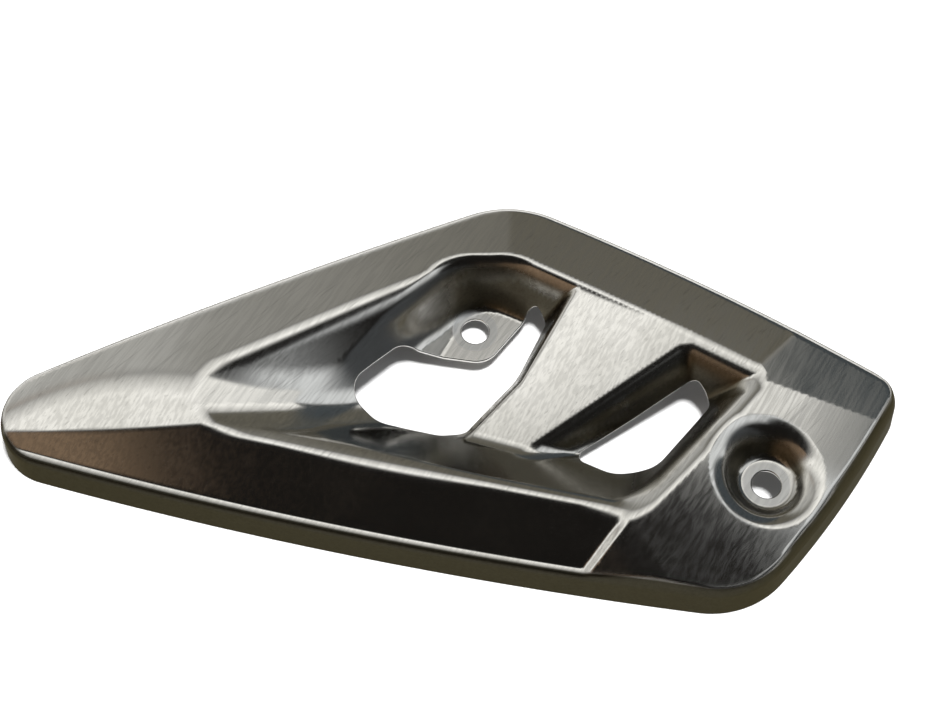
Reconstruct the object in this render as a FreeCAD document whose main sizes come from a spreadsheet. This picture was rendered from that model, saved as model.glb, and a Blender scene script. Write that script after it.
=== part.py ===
import math
import os

import FreeCAD
import Part

Vector = FreeCAD.Vector
doc = FreeCAD.newDocument("heel_guard")

# Driving sizes in millimetres and degrees. Plan: +X along the length away from the nose,
# +Y to the back, Z up from the rim that the guard lies on.
sizes = {
    # corners of the kite outline at the rim, before rounding, and how far each side bows out
    "nose_x": -125.0, "nose_y": -9.6, "nose_round": 13.2,
    "front_x": 65.0, "front_y": -51.3, "front_round": 22.0,
    "tail_x": 105.3, "tail_y": 0.6, "tail_round": 8.5,
    "peak_x": 14.8, "peak_y": 52.6, "peak_round": 29.0,
    "front_bow": 4.4, "tail_bow": 2.4, "back_bow": 2.2, "nose_bow": 2.2,
    # sheet and skirt
    "sheet": 1.0, "skirt_flare": 8.0, "skirt_top": 7.8,
    "back_edge_tilt": 62.0, "front_edge_tilt": 76.0, "edge_round": 4.0,
    "bead_height": 8.7, "bead_round": 1.2, "ledge_end": 3.3, "valley_round": 1.4,
    # raised faces
    "band_height": 16.2, "band_tilt": 6.3, "nose_drop_start": -54.0, "nose_drop_round": 180.0,
    "lower_tilt": 31.5, "ridge_round": 4.0, "soft_round": 22.0,
    "nose_ridge_x": -56.2, "nose_ridge_y": -11.0, "nose_ridge_height": 16.8,
    "nose_ridge_tilt": 17.2, "nose_ridge_turn": 61.0,
    "pad_top_x": 70.6, "pad_top_y": -2.5, "pad_top_height": 18.0,
    "pad_tilt": 9.7, "pad_turn": 143.7, "tail_face_tilt": 10.8, "tail_face_turn": 161.7,
    "pad_front_x": 74.0, "pad_front_y": -47.0, "pad_front_height": 10.0,
    "pad_front_tilt": 17.0, "pad_front_turn": 99.0, "pad_round": 150.0, "step_width": 2.6,
    # recess: corners of its crest, heights of the crest, slopes of the walls
    "recess_nose_x": -70.3, "recess_nose_y": -7.8, "recess_peak_x": 10.2, "recess_peak_y": 33.1,
    "recess_tail_x": 67.9, "recess_tail_y": 0.0, "recess_front_x": 39.2, "recess_front_y": -32.2,
    "recess_back_height": 17.6, "recess_front_height": 16.3, "floor_height": 5.0,
    "back_wall_tilt": 50.0, "peak_wall_tilt": 65.0, "tail_wall_tilt": 58.0, "front_wall_tilt": 37.0,
    "nose_ramp_x": -55.4, "nose_ramp_y": -7.6, "nose_ramp_height": 17.8,
    "nose_ramp_tilt": 18.3, "nose_ramp_turn": 152.0,
    "crest_round": 4.5, "tail_crest_round": 9.0,
    "hollow_round": 4.0, "pocket_hollow": 14.0, "foot_hollow": 8.0,
    # bar that slopes down through the recess
    "bar_foot_x": 10.8, "bar_foot_y": -13.7, "bar_foot_height": 6.0, "bar_tilt": 16.7, "bar_turn": 60.2,
    "bar_length": 36.0,
    "bar_left_x": 16.0, "bar_left_y": 1.3, "bar_left_turn": 58.3, "bar_foot_turn": 43.9,
    "bar_right_x": 39.4, "bar_right_y": -1.9, "bar_right_turn": 31.3,
    "bar_strip_x": 38.8, "bar_strip_y": 13.8, "bar_strip_turn": -29.8,
    "bar_left_tilt": 68.0, "bar_right_tilt": 58.0, "bar_strip_tilt": 62.0,
    "bar_round": 2.4, "bar_right_round": 5.0,
    # bolt tab in the recess and bolt dimple in the pad
    "bolt_hole": 6.5, "seat_width": 10.5, "seat_depth": 0.15, "seat_round": 2.0,
    "tab_x": 5.8, "tab_y": 17.4,
    "pocket_x": 3.4, "pocket_y": 24.5, "pocket_turn": 42.8, "pocket_tilt": 68.0, "pocket_round": 14.0,
    "dimple_x": 69.6, "dimple_y": -23.9, "dimple_height": 10.4, "dimple_round": 7.0,
    "dimple_tilt": 54.0, "dimple_rim": 4.5,
    # corners of the large opening, before rounding
    "large_nose_x": -23.8, "large_nose_y": 0.0, "large_nose_round": 5.0,
    "large_back_x": -10.8, "large_back_y": 13.6, "large_back_round": 6.0,
    "large_tab_x": 8.5, "large_tab_y": 8.8, "large_tab_round": 6.0,
    "large_peak_x": 19.3, "large_peak_y": 22.4, "large_peak_round": 1.8,
    "large_side_x": 22.4, "large_side_y": 18.2, "large_side_round": 3.0,
    "large_bend_x": 15.6, "large_bend_y": 4.0, "large_bend_round": 8.0,
    "large_foot_x": 3.6, "large_foot_y": -9.3, "large_foot_round": 3.0,
    "large_low_x": -2.2, "large_low_y": -10.6, "large_low_round": 6.0,
    "large_front_x": -16.2, "large_front_y": -7.4, "large_front_round": 8.0,
    # corners of the small opening, before rounding
    "small_foot_x": 27.4, "small_foot_y": -15.2, "small_foot_round": 2.0,
    "small_back_x": 55.2, "small_back_y": 1.6, "small_back_round": 2.5,
    "small_tail_x": 59.8, "small_tail_y": -3.4, "small_tail_round": 4.0,
    "small_front_x": 45.8, "small_front_y": -19.5, "small_front_round": 5.0,
    "small_low_x": 35.8, "small_low_y": -20.2, "small_low_round": 6.0,
    # spacing of the stations at which the pressed face is laid out
    "station": 2.1,
}
sheet = doc.addObject("Spreadsheet::Sheet", "sizes")
for row, (name, value) in enumerate(sizes.items(), start=1):
    sheet.set(f"A{row}", name)
    sheet.set(f"B{row}", str(value))
    sheet.setAlias(f"B{row}", name)
doc.recompute()


def size(name):
    return float(getattr(sheet, name))


def slope(name):
    return math.tan(math.radians(size(name)))


def corner(name):
    return Vector(size(name + "_x"), size(name + "_y"), 0)


def heading(name):
    angle = math.radians(size(name))
    return Vector(math.cos(angle), math.sin(angle), 0)


# Outline: four bowed sides between the corners, each corner rounded by an arc tangent to both.
corners = [corner(name) for name in ("nose", "front", "tail", "peak")]
rounds = [size(name + "_round") for name in ("nose", "front", "tail", "peak")]
bows = [size(name + "_bow") for name in ("front", "tail", "back", "nose")]


def side_circle(start, end, bow):
    chord = end - start
    radius = (chord.Length ** 2 / 4 + bow ** 2) / (2 * bow)
    outward = Vector(chord.y, -chord.x, 0).normalize()
    return (start + end) * 0.5 + outward * (bow - radius), radius


sides = [side_circle(corners[i], corners[(i + 1) % 4], bows[i]) for i in range(4)]


def corner_centre(index):
    (centre_a, radius_a), (centre_b, radius_b) = sides[index - 1], sides[index]
    reach_a, reach_b = radius_a - rounds[index], radius_b - rounds[index]
    across = centre_b - centre_a
    along = (across.Length ** 2 + reach_a ** 2 - reach_b ** 2) / (2 * across.Length)
    aside = math.sqrt(reach_a ** 2 - along ** 2)
    unit = Vector(across).normalize()
    normal = Vector(-unit.y, unit.x, 0)
    choices = [centre_a + unit * along + normal * sign * aside for sign in (1, -1)]
    return min(choices, key=lambda point: point.distanceToPoint(corners[index]))


centres = [corner_centre(index) for index in range(4)]


def side_direction(corner_index, side_index):
    return (centres[corner_index] - sides[side_index][0]).normalize()


def outline(inset, level):
    edges = []
    for index in range(4):
        after = (index + 1) % 4
        lift = Vector(0, 0, level)
        start = centres[index] + side_direction(index, index) * (rounds[index] - inset)
        end = centres[after] + side_direction(after, index) * (rounds[after] - inset)
        centre, radius = sides[index]
        middle = centre + ((start + end) * 0.5 - centre).normalize() * (radius - inset)
        edges.append(Part.Arc(start + lift, middle + lift, end + lift).toShape())
        turn_end = centres[after] + side_direction(after, after) * (rounds[after] - inset)
        bulge = (side_direction(after, index) + side_direction(after, after)).normalize()
        middle = centres[after] + bulge * (rounds[after] - inset)
        edges.append(Part.Arc(end + lift, middle + lift, turn_end + lift).toShape())
    return Part.Wire(edges)


# A surface is a height with its slopes along X and Y at one plan point.
def depth(point):
    nearest = None
    for index in range(4):
        out = point - centres[index]
        first, last = side_direction(index, index - 1), side_direction(index, index)
        if first.cross(out).z > 0 and out.cross(last).z > 0:
            nearest = (rounds[index] - out.Length, out)
    if nearest is None:
        options = [(radius - (point - centre).Length, point - centre) for centre, radius in sides]
        nearest = min(options, key=lambda option: option[0])
    out = nearest[1].normalize()
    return nearest[0], -out.x, -out.y


def side_depth(point, index):
    out = point - sides[index][0]
    value = sides[index][1] - out.Length
    out.normalize()
    return value, -out.x, -out.y


def rise(distance, level, grade):
    return level + grade * distance[0], grade * distance[1], grade * distance[2]


def plane(point, origin, level, grade, uphill):
    return level + grade * (point - origin).dot(uphill), grade * uphill.x, grade * uphill.y


def blend(first, second, radius, sign):
    # parabola tangent to both surfaces: sign +1 keeps the lower one, -1 the higher one
    jump = math.hypot(first[1] - second[1], first[2] - second[2])
    steep = (1 + first[1] ** 2 + first[2] ** 2) * (1 + second[1] ** 2 + second[2] ** 2)
    cosine = min((1 + first[1] * second[1] + first[2] * second[2]) / math.sqrt(steep), 1.0)
    half_turn = math.sqrt((1 - cosine) / (1 + cosine))
    reach = radius * jump * half_turn * (1 + cosine) / 2
    gap = first[0] - second[0]
    if abs(gap) >= reach:
        return first if gap * sign < 0 else second
    share = 0.5 - sign * gap / (2 * reach)
    height = (first[0] + second[0]) / 2 - sign * (reach / 4 + gap ** 2 / (4 * reach))
    slopes = [share * first[i] + (1 - share) * second[i] for i in (1, 2)]
    return height, slopes[0], slopes[1]


def lower(first, second, radius):
    return blend(first, second, radius, 1)


def higher(first, second, radius):
    return blend(first, second, radius, -1)


def between(first, second, share):
    share = min(max(share, 0), 1)
    return size(first) + (size(second) - size(first)) * share


recess = [corner("recess_" + name) for name in ("nose", "peak", "tail", "front")]
tail_crest = (recess[2] - recess[3]).normalize()
past_crest = Vector(tail_crest.y, -tail_crest.x, 0)


def beyond_crest(point):
    return (point - recess[3]).dot(past_crest)


def named_plane(point, origin, face):
    return plane(point, corner(origin), size(origin + "_height"), slope(face + "_tilt"),
                 heading(face + "_turn"))


def level_face(name):
    return size(name + "_height"), 0.0, 0.0


# Raised faces: the main ones and, over a step at the tail crest of the recess, the pad.
def main_faces(point):
    band = None
    for index in (3, 2):
        face = rise(side_depth(point, index), size("band_height"), slope("band_tilt"))
        band = face if band is None else lower(band, face, size("soft_round"))
    past = point.x - size("nose_drop_start")
    if past < 0:
        curve = size("nose_drop_round")
        band = (band[0] - past ** 2 / (2 * curve), band[1] - past / curve, band[2])
    nose = named_plane(point, "nose_ridge", "nose_ridge")
    grade = slope("lower_tilt")
    front = rise(side_depth(point, 0), size("bead_height") - grade * size("ledge_end"), grade)
    return lower(lower(band, nose, size("soft_round")), front, size("ridge_round"))


def pad_faces(point):
    pad = named_plane(point, "pad_top", "pad")
    tail = named_plane(point, "pad_top", "tail_face")
    front = named_plane(point, "pad_front", "pad_front")
    return lower(lower(pad, front, size("pad_round")), tail, size("ridge_round"))


def roof(point):
    rear = pad_faces(point)
    main = lower(main_faces(point), rear, size("ridge_round"))
    width = size("step_width")
    share = min(max(beyond_crest(point) / width + 0.5, 0), 1)
    growth = 6 * share * (1 - share) / width * (rear[0] - main[0])
    share = share ** 2 * (3 - 2 * share)
    mixed = [share * rear[i] + (1 - share) * main[i] for i in range(3)]
    return mixed[0], mixed[1] + growth * past_crest.x, mixed[2] + growth * past_crest.y


def bar(point):
    top = named_plane(point, "bar_foot", "bar")
    walls = []
    for name, turn, side in (("bar_left", "bar_left_turn", 1), ("bar_left", "bar_foot_turn", 1),
                             ("bar_right", "bar_right_turn", -1), ("bar_strip", "bar_strip_turn", -1)):
        along = heading(turn)
        outward = Vector(-along.y * side, along.x * side, 0)
        grade = slope(name + "_tilt")
        away = (point - corner(name)).dot(outward)
        walls.append((top[0] - grade * away, top[1] - grade * outward.x, top[2] - grade * outward.y))
    left = higher(walls[0], walls[1], size("hollow_round"))
    right = higher(walls[2], walls[3], size("hollow_round"))
    return lower(lower(top, left, size("bar_round")), right, size("bar_right_round"))


def recess_walls(point):
    walls = []
    for index, (name, level) in enumerate((("back", "back"), ("peak", "back"),
                                           ("tail", "front"), ("front", "front"))):
        along = (recess[(index + 1) % 4] - recess[index]).normalize()
        outward = Vector(-along.y, along.x, 0)
        walls.append(plane(point, recess[index], size("recess_" + level + "_height"),
                           slope(name + "_wall_tilt"), outward))
    return walls


def recess_face(point):
    hollow = size("hollow_round")
    walls = recess_walls(point)
    along = heading("pocket_turn")
    pocket = [plane(point, corner("pocket"), size("floor_height"), slope("pocket_tilt"), uphill)
              for uphill in (Vector(-along.y, along.x, 0), Vector(0, 1, 0))]
    back = lower(walls[0], pocket[0], size("pocket_round"))
    for face in (pocket[1], walls[1]):
        back = higher(back, face, size("pocket_hollow"))
    shape = higher(named_plane(point, "nose_ramp", "nose_ramp"), back, 3 * hollow)
    shape = higher(shape, walls[2], hollow)
    shape = higher(shape, walls[3], 3 * hollow)
    return higher(shape, level_face("floor"), size("seat_round"))


def dimple_cup(point):
    grade = slope("dimple_tilt")
    out = point - corner("dimple")
    length = max(out.Length, 1e-6)
    height = size("dimple_height") + grade * (length - size("dimple_round"))
    wall = (height, grade * out.x / length, grade * out.y / length)
    return higher(wall, level_face("dimple"), size("seat_round"))


def edge_face(point):
    # steeper along the front and tail sides than along the back
    edge = depth(point)
    share = min(max(0.5 + 0.8 * edge[2], 0), 1)
    grade = slope("back_edge_tilt") + (slope("front_edge_tilt") - slope("back_edge_tilt")) * share
    return rise(edge, size("skirt_top") * (1 - grade * slope("skirt_flare")), grade)


def pressed(point):
    top = higher(roof(point), level_face("bead"), size("valley_round"))
    lift = (top[0] - size("bead_height")) / (size("band_height") - size("bead_height"))
    top = lower(top, edge_face(point), between("bead_round", "edge_round", lift))
    near = 1 - abs(beyond_crest(point)) / size("tail_crest_round")
    carved = lower(top, recess_face(point), between("crest_round", "tail_crest_round", near))
    bridge = lower(top, bar(point), size("crest_round"))
    climb = (point - corner("bar_foot")).dot(heading("bar_turn")) / size("bar_length")
    top = higher(carved, bridge, between("foot_hollow", "seat_round", climb))
    return lower(top, dimple_cup(point), size("dimple_rim"))


# Stations follow the front side, close together over the bead and the ledge.
def station_rows():
    front_depths = [-3.0, -1.0, 0.4, 1.2, 2.0, 2.8, 3.6, 4.4, 5.2, 6.4, 8.0]
    far = max(side_depth(corners[3], 0)[0], side_depth(corners[2], 0)[0])
    rows = math.ceil((far - front_depths[-1]) / size("station"))
    return front_depths + [front_depths[-1] + size("station") * (i + 1) for i in range(rows)]


def station_angles():
    centre, radius = sides[0]
    span = [math.atan2(point.y - centre.y, point.x - centre.x) for point in (corners[0], corners[2])]
    first = span[0] + 22 / radius
    count = math.ceil((span[1] - first) * radius / size("station"))
    return [first + (span[1] - first) * i / count for i in range(count + 1)]


def pressed_surface(offset):
    centre, radius = sides[0]
    grid = []
    for row in station_rows():
        line = []
        for angle in station_angles():
            point = centre + Vector(math.cos(angle), math.sin(angle), 0) * (radius - row)
            height, slope_x, slope_y = pressed(point)
            normal = Vector(-slope_x, -slope_y, 1).normalize()
            line.append(Vector(point.x, point.y, height) - normal * offset)
        grid.append(line)
    knots = [list(range(count - 2)) for count in (len(grid), len(grid[0]))]
    repeats = [[4] + [1] * (len(line) - 2) + [4] for line in knots]
    surface = Part.BSplineSurface()
    surface.buildFromPolesMultsKnots(grid, repeats[0], repeats[1], knots[0], knots[1],
                                     False, False, 3, 3)
    return surface.toShape()


def feature(name, shape):
    item = doc.addObject("Part::Feature", name)
    item.Shape = shape
    return item


def under_pressed_face(name, inset, bottom):
    # solid under the pressed face, inside the flared skirt
    top = 1.5 * size("band_height")
    flare = slope("skirt_flare")
    skirt = doc.addObject("Part::Loft", name + "_skirt")
    skirt.Sections = [feature(name + f"_outline_{level:.0f}", outline(inset + flare * level, level))
                      for level in (bottom, top)]
    skirt.Solid = True
    skirt.Ruled = True
    drop = Vector(0, 0, -3 * size("band_height"))
    die = feature(name + "_die", pressed_surface(inset).extrude(drop))
    block = doc.addObject("Part::MultiCommon", name)
    block.Shapes = [skirt, die]
    return block


def cut(name, base, tool):
    item = doc.addObject("Part::Cut", name)
    item.Base = base
    item.Tool = tool
    return item


shell = cut("shell", under_pressed_face("outside", 0.0, 0.0),
            under_pressed_face("inside", size("sheet"), -2 * size("sheet")))


# Openings: straight runs between corners, each corner rounded.
def rounded_wire(points):
    edges = []
    ends = []
    for index, (point, radius) in enumerate(points):
        before = (points[index - 1][0] - point).normalize()
        after = (points[(index + 1) % len(points)][0] - point).normalize()
        half = before.getAngle(after) / 2
        bisector = (before + after).normalize()
        trim = radius / math.tan(half)
        middle = point + bisector * (radius / math.sin(half) - radius)
        ends.append((point + before * trim, middle, point + after * trim))
    for index, (start, middle, end) in enumerate(ends):
        edges.append(Part.Arc(start, middle, end).toShape())
        edges.append(Part.makeLine(end, ends[(index + 1) % len(ends)][0]))
    return Part.Wire(edges)


def opening(name, points):
    hole = doc.addObject("Part::Extrusion", name)
    hole.Base = feature(name + "_outline", rounded_wire(points))
    hole.DirMode = "Custom"
    hole.Dir = Vector(0, 0, 1)
    hole.Solid = True
    hole.setExpression("LengthFwd", "1.5 * sizes.band_height")
    return hole


def named_corners(prefix, names):
    return [(corner(prefix + name), size(prefix + name + "_round")) for name in names]


large_points = named_corners("large_", ("nose", "back", "tab", "peak", "side", "bend", "foot", "low",
                                        "front"))
small_points = named_corners("small_", ("foot", "back", "tail", "front", "low"))
guard = cut("with_large_opening", shell, opening("large_opening", large_points))
guard = cut("with_small_opening", guard, opening("small_opening", small_points))


# Bolt seats: a coined ring on the face round the clearance hole.
def cylinder(name, centre, width, low, tall):
    item = doc.addObject("Part::Cylinder", name)
    item.setExpression("Radius", f"sizes.{width} / 2")
    item.setExpression("Height", tall)
    item.setExpression("Placement.Base.x", f"sizes.{centre}_x")
    item.setExpression("Placement.Base.y", f"sizes.{centre}_y")
    item.setExpression("Placement.Base.z", low)
    return item


for place, level in (("tab", "sizes.floor_height"), ("dimple", "sizes.dimple_height")):
    ring = cylinder(place + "_ring", place, "seat_width", f"{level} - sizes.seat_depth", "sizes.sheet")
    hole = cylinder(place + "_hole", place, "bolt_hole", f"{level} - 2 * sizes.sheet", "4 * sizes.sheet")
    seat = doc.addObject("Part::MultiFuse", place + "_seat")
    seat.Shapes = [ring, hole]
    guard = cut("with_" + place + "_seat", guard, seat)
guard.Label = "heel_guard"
doc.recompute()

for item in doc.Objects:
    if "Invalid" in item.State or "Error" in item.State:
        raise RuntimeError(f"{item.Name} did not build")
    if hasattr(item, "Shape") and (item.Shape.isNull() or not item.Shape.isValid()):
        raise RuntimeError(f"{item.Name} has no valid shape")
if len(guard.Shape.Solids) != 1:
    raise RuntimeError("the guard is one solid")
os.makedirs("parts", exist_ok=True)
guard.Shape.exportStep("parts/heel_guard.step")
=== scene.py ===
import math

import bpy
import numpy as np
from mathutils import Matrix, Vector
from mathutils.geometry import delaunay_2d_cdt


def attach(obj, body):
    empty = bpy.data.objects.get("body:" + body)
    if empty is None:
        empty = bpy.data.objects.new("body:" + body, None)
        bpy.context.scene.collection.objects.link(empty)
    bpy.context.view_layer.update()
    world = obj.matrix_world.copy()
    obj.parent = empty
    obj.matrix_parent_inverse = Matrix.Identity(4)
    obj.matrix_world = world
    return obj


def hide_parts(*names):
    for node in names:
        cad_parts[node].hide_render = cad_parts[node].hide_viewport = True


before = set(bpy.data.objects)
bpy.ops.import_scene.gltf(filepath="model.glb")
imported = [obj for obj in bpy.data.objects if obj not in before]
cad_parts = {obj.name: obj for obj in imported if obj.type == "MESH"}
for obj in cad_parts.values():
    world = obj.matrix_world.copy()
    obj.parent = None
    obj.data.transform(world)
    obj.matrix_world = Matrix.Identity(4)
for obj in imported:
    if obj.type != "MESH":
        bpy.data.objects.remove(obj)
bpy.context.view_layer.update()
mm = 0.001

# the pressed form, in millimetres and degrees, nose at -X, back at +Y, rim at Z 0
guard = {
    # kite outline at the rim: corner x, y and rounding, and the bow of the side after each corner
    "nose": (-125.0, -9.6, 13.2), "front": (65.0, -51.3, 22.0),
    "tail": (105.3, 0.6, 8.5), "peak": (14.8, 52.6, 29.0),
    "bows": (4.4, 2.4, 2.2, 2.2),
    # sheet, skirt, bead and ledge
    "sheet": 1.0, "skirtFlare": 8.0, "skirtTop": 7.8, "edgeRound": 4.0,
    "backEdgeTilt": 62.0, "frontEdgeTilt": 76.0, "edgeTiltGain": 0.8,
    "beadHeight": 8.7, "beadRound": 1.2, "ledgeEnd": 3.3, "valleyRound": 1.4,
    # raised faces
    "bandHeight": 16.2, "bandTilt": 6.3, "noseDropStart": -54.0, "noseDropRound": 180.0,
    "lowerTilt": 31.5, "ridgeRound": 4.5, "softRound": 22.0,
    "noseRidge": (-56.2, -11.0), "noseRidgeHeight": 16.8, "noseRidgeTilt": 17.2, "noseRidgeTurn": 61.0,
    "padTop": (70.6, -2.5), "padTopHeight": 18.0, "padTilt": 9.7, "padTurn": 143.7,
    "tailFaceTilt": 9.2, "tailFaceTurn": 164.2, "stepWidth": 3.0, "stepEnds": 0.4,
    "padFront": (74.0, -47.0), "padFrontHeight": 10.0, "padFrontTilt": 17.0, "padFrontTurn": 99.0,
    "padCorner": (30.0, -38.5), "padCornerHeight": 12.0, "padCornerTilt": 29.0, "padCornerTurn": 61.0,
    "padRound": 150.0,
    # recess: corners along its crest, with the height and tilt of the wall after each
    "recess": ((-70.3, -7.8), (10.2, 30.7), (67.9, 0.0), (39.2, -32.2)),
    "recessHeights": (17.6, 17.6, 16.3, 16.3), "recessTilts": (47.0, 65.0, 58.0, 37.0),
    # the first of these walls, the back one, starts further in and less steep
    "backWallStart": (-70.3, -10.0), "backWallStartTilt": 22.0,
    "floorHeight": 5.0,
    "noseRamp": (-55.4, -7.6), "noseRampHeight": 17.8, "noseRampTilt": 18.3, "noseRampTurn": 152.0,
    "crestRound": 4.5, "tailCrestRound": 9.0,
    "backCrestRound": 8.0, "backCrestReach": 8.0, "backCrestEnd": 9.0, "backCrestFade": 30.0,
    "hollowRound": 4.0, "tailHollow": 8.0, "frontHollow": 12.0, "pocketHollow": 14.0, "footHollow": 5.0,
    "rampHollow": 15.0, "rampHollowStart": -6.0, "rampHollowGrowth": 12.0,
    # bar through the recess
    "barFoot": (10.8, -13.7), "barFootHeight": 7.0, "barTilt": 15.3, "barTurn": 60.2, "barLength": 36.0,
    "barLeft": (16.0, 1.3), "barLeftTurn": 58.3, "barFootTurn": 43.9, "barLeftTilt": 68.0,
    "barRight": (40.0, -2.6), "barRightTurn": 31.3, "barRightTilt": 58.0,
    "barStrip": (38.8, 13.8), "barStripTurn": -29.8, "barStripTilt": 62.0,
    "barRound": 2.4, "barRightRound": 6.0,
    # bolt seats
    "boltHole": 6.5, "seatWidth": 10.5, "seatDepth": 0.15, "seatSoft": 0.25, "seatRound": 2.0,
    "tab": (5.8, 17.4), "pocket": (3.4, 24.5), "pocketTurn": 42.8, "pocketTilt": 73.0, "pocketRound": 14.0,
    "dimple": (69.6, -23.9), "dimpleHeight": 10.4, "dimpleRound": 6.2, "dimpleTilt": 54.0, "dimpleRim": 7.0,
    # openings: corner x, y and rounding
    "largeOpening": ((-23.8, 0.0, 5.0), (-10.8, 11.7, 6.0), (8.5, 8.8, 6.0), (19.3, 22.4, 1.8),
                     (22.4, 18.2, 3.0), (15.6, 4.0, 8.0), (3.6, -9.3, 3.0), (-2.2, -10.6, 6.0),
                     (-16.2, -7.4, 8.0)),
    "smallOpening": ((27.4, -15.2, 2.0), (55.2, 1.6, 2.5), (59.8, -3.4, 4.0), (45.8, -19.5, 5.0),
                     (35.8, -20.2, 6.0)),
    # marks for the steel; a pair is where a mark starts and how far it takes to grow to 1
    "edgeMarkDepth": 9.0, "edgeMarkFade": 2.0, "edgeMarkSlope": (0.7, 0.7),
    "beadMarkInset": 0.6, "beadMarkFade": 0.5, "beadMarkGain": 2.0,
    # painted shade on the steep recess walls: its depth below the roof, where it starts along X, and the
    # slope it starts at
    "paintedShadeDepth": (0.8, 1.5), "paintedShadeStart": (-10.0, 12.0), "paintedShadeSlope": (0.55, 0.5),
    "wearAndSheenReach": 0.6, "wearAndSheenBend": 0.22,
    # mesh; the steps and the clear distances of cuts and rows are shares of the spacing
    "spacing": 0.70, "edgeLoops": 6, "edgeLoopStep": 0.5,
    "holeStep": 0.6, "seatStep": 0.7, "seatRings": (-0.8, -0.25, 0.0, 0.25, 0.8), "seatClear": 1.2,
    "stepRun": (-4.0, 26.0), "stepRows": (-0.5, -0.35, -0.2, 0.0, 0.2, 0.35, 0.5), "rowClear": 0.4,
    "cutRound": 0.3, "cutReach": 45.0, "cutClear": 0.6,
    # skirt rings as shares of its height, and the rim's rounding
    "skirtRings": (0.93, 0.84, 0.7, 0.55, 0.4, 0.25, 0.12), "innerRings": (0.15, 0.35, 0.55, 0.75, 0.9),
    "rimRound": 0.25, "rimBend": 0.29,
}
boltSeats = ("tab", "dimple")


def grade(name):
    return math.tan(math.radians(guard[name]))


def heading(name):
    turn = math.radians(guard[name])
    return np.array((math.cos(turn), math.sin(turn)))


def unit(v):
    return v / np.linalg.norm(v)


def cross(a, b):
    return a[..., 0] * b[..., 1] - a[..., 1] * b[..., 0]


# outline: four bowed sides, each corner rounded by an arc tangent to both
cornerNames = ("nose", "front", "tail", "peak")
corners = [np.array(guard[n][:2]) for n in cornerNames]
rounds = [guard[n][2] for n in cornerNames]


def sideCircle(start, end, bow):
    chord = end - start
    radius = (chord @ chord / 4 + bow ** 2) / (2 * bow)
    outward = unit(np.array((chord[1], -chord[0])))
    return (start + end) / 2 + outward * (bow - radius), radius


sides = [sideCircle(corners[i], corners[(i + 1) % 4], guard["bows"][i]) for i in range(4)]


def cornerCentre(i):
    (centreA, radiusA), (centreB, radiusB) = sides[i - 1], sides[i]
    reachA, reachB = radiusA - rounds[i], radiusB - rounds[i]
    across = centreB - centreA
    span = np.linalg.norm(across)
    along = (span ** 2 + reachA ** 2 - reachB ** 2) / (2 * span)
    aside = math.sqrt(reachA ** 2 - along ** 2)
    direct = across / span
    normal = np.array((-direct[1], direct[0]))
    choices = [centreA + direct * along + normal * s * aside for s in (1, -1)]
    return min(choices, key=lambda p: np.linalg.norm(p - corners[i]))


centres = [cornerCentre(i) for i in range(4)]
# directions at which each corner's arc starts and ends
sideTurns = [[unit(centres[i] - sides[k][0]) for k in (i - 1, i)] for i in range(4)]


def edgeDepth(p):  # distance inside the outline, with its slopes
    best = np.full(len(p), np.inf)
    away = np.zeros_like(p)
    for centre, radius in sides:
        out = p - centre
        value = radius - np.linalg.norm(out, axis=1)
        nearer = value < best
        best = np.where(nearer, value, best)
        away[nearer] = out[nearer]
    for i in range(4):
        out = p - centres[i]
        first, last = sideTurns[i]
        inside = (cross(first, out) > 0) & (cross(out, last) > 0)
        best = np.where(inside, rounds[i] - np.linalg.norm(out, axis=1), best)
        away[inside] = out[inside]
    away = away / np.maximum(np.linalg.norm(away, axis=1, keepdims=True), 1e-9)
    return best, -away[:, 0], -away[:, 1]


def sideDepth(p, i):
    out = p - sides[i][0]
    length = np.linalg.norm(out, axis=1)
    return sides[i][1] - length, -out[:, 0] / length, -out[:, 1] / length


# a face is a height with its slopes along X and Y
def rise(distance, level, steepness):
    return level + steepness * distance[0], steepness * distance[1], steepness * distance[2]


def planeFace(p, origin, level, steepness, uphill):
    flat = np.ones(len(p)) * steepness
    return level + steepness * ((p - np.array(origin)) @ uphill), flat * uphill[0], flat * uphill[1]


def levelFace(p, level):
    return np.full(len(p), level), np.zeros(len(p)), np.zeros(len(p))


def blendFaces(a, b, radius, sign):  # parabola tangent to both faces
    jump = np.hypot(a[1] - b[1], a[2] - b[2])
    steep = (1 + a[1] ** 2 + a[2] ** 2) * (1 + b[1] ** 2 + b[2] ** 2)
    cosine = np.minimum((1 + a[1] * b[1] + a[2] * b[2]) / np.sqrt(steep), 1.0)
    reach = np.maximum(radius * jump * np.sqrt((1 - cosine) / (1 + cosine)) * (1 + cosine) / 2, 1e-9)
    gap = a[0] - b[0]
    share = np.clip(0.5 - sign * gap / (2 * reach), 0, 1)
    curve = (a[0] + b[0]) / 2 - sign * (reach / 4 + gap ** 2 / (4 * reach))
    height = np.where(share >= 1, a[0], np.where(share <= 0, b[0], curve))
    return height, share * a[1] + (1 - share) * b[1], share * a[2] + (1 - share) * b[2]


def lower(a, b, radius):
    return blendFaces(a, b, radius, 1)


def higher(a, b, radius):
    return blendFaces(a, b, radius, -1)


def cone(p, start, end, radius, level, steepness):
    run = end - start
    share = np.clip((p - start) @ run / max(run @ run, 1e-9), 0, 1)
    out = p - (start + share[:, None] * run)
    length = np.maximum(np.linalg.norm(out, axis=1), 1e-6)
    slopes = steepness * out / length[:, None]
    return level + steepness * (length - radius), slopes[:, 0], slopes[:, 1]


def ease(share, ends):  # 0 to 1, straight with rounded ends, and its slope
    share = np.clip(share, 0, 1)
    near = np.minimum(share, 1 - share)
    bent = near ** 2 / (2 * ends)
    part = np.where(near < ends, bent, near - ends / 2) / (1 - ends)
    return np.where(share < 0.5, part, 1 - part), np.minimum(near / ends, 1) / (1 - ends)


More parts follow.
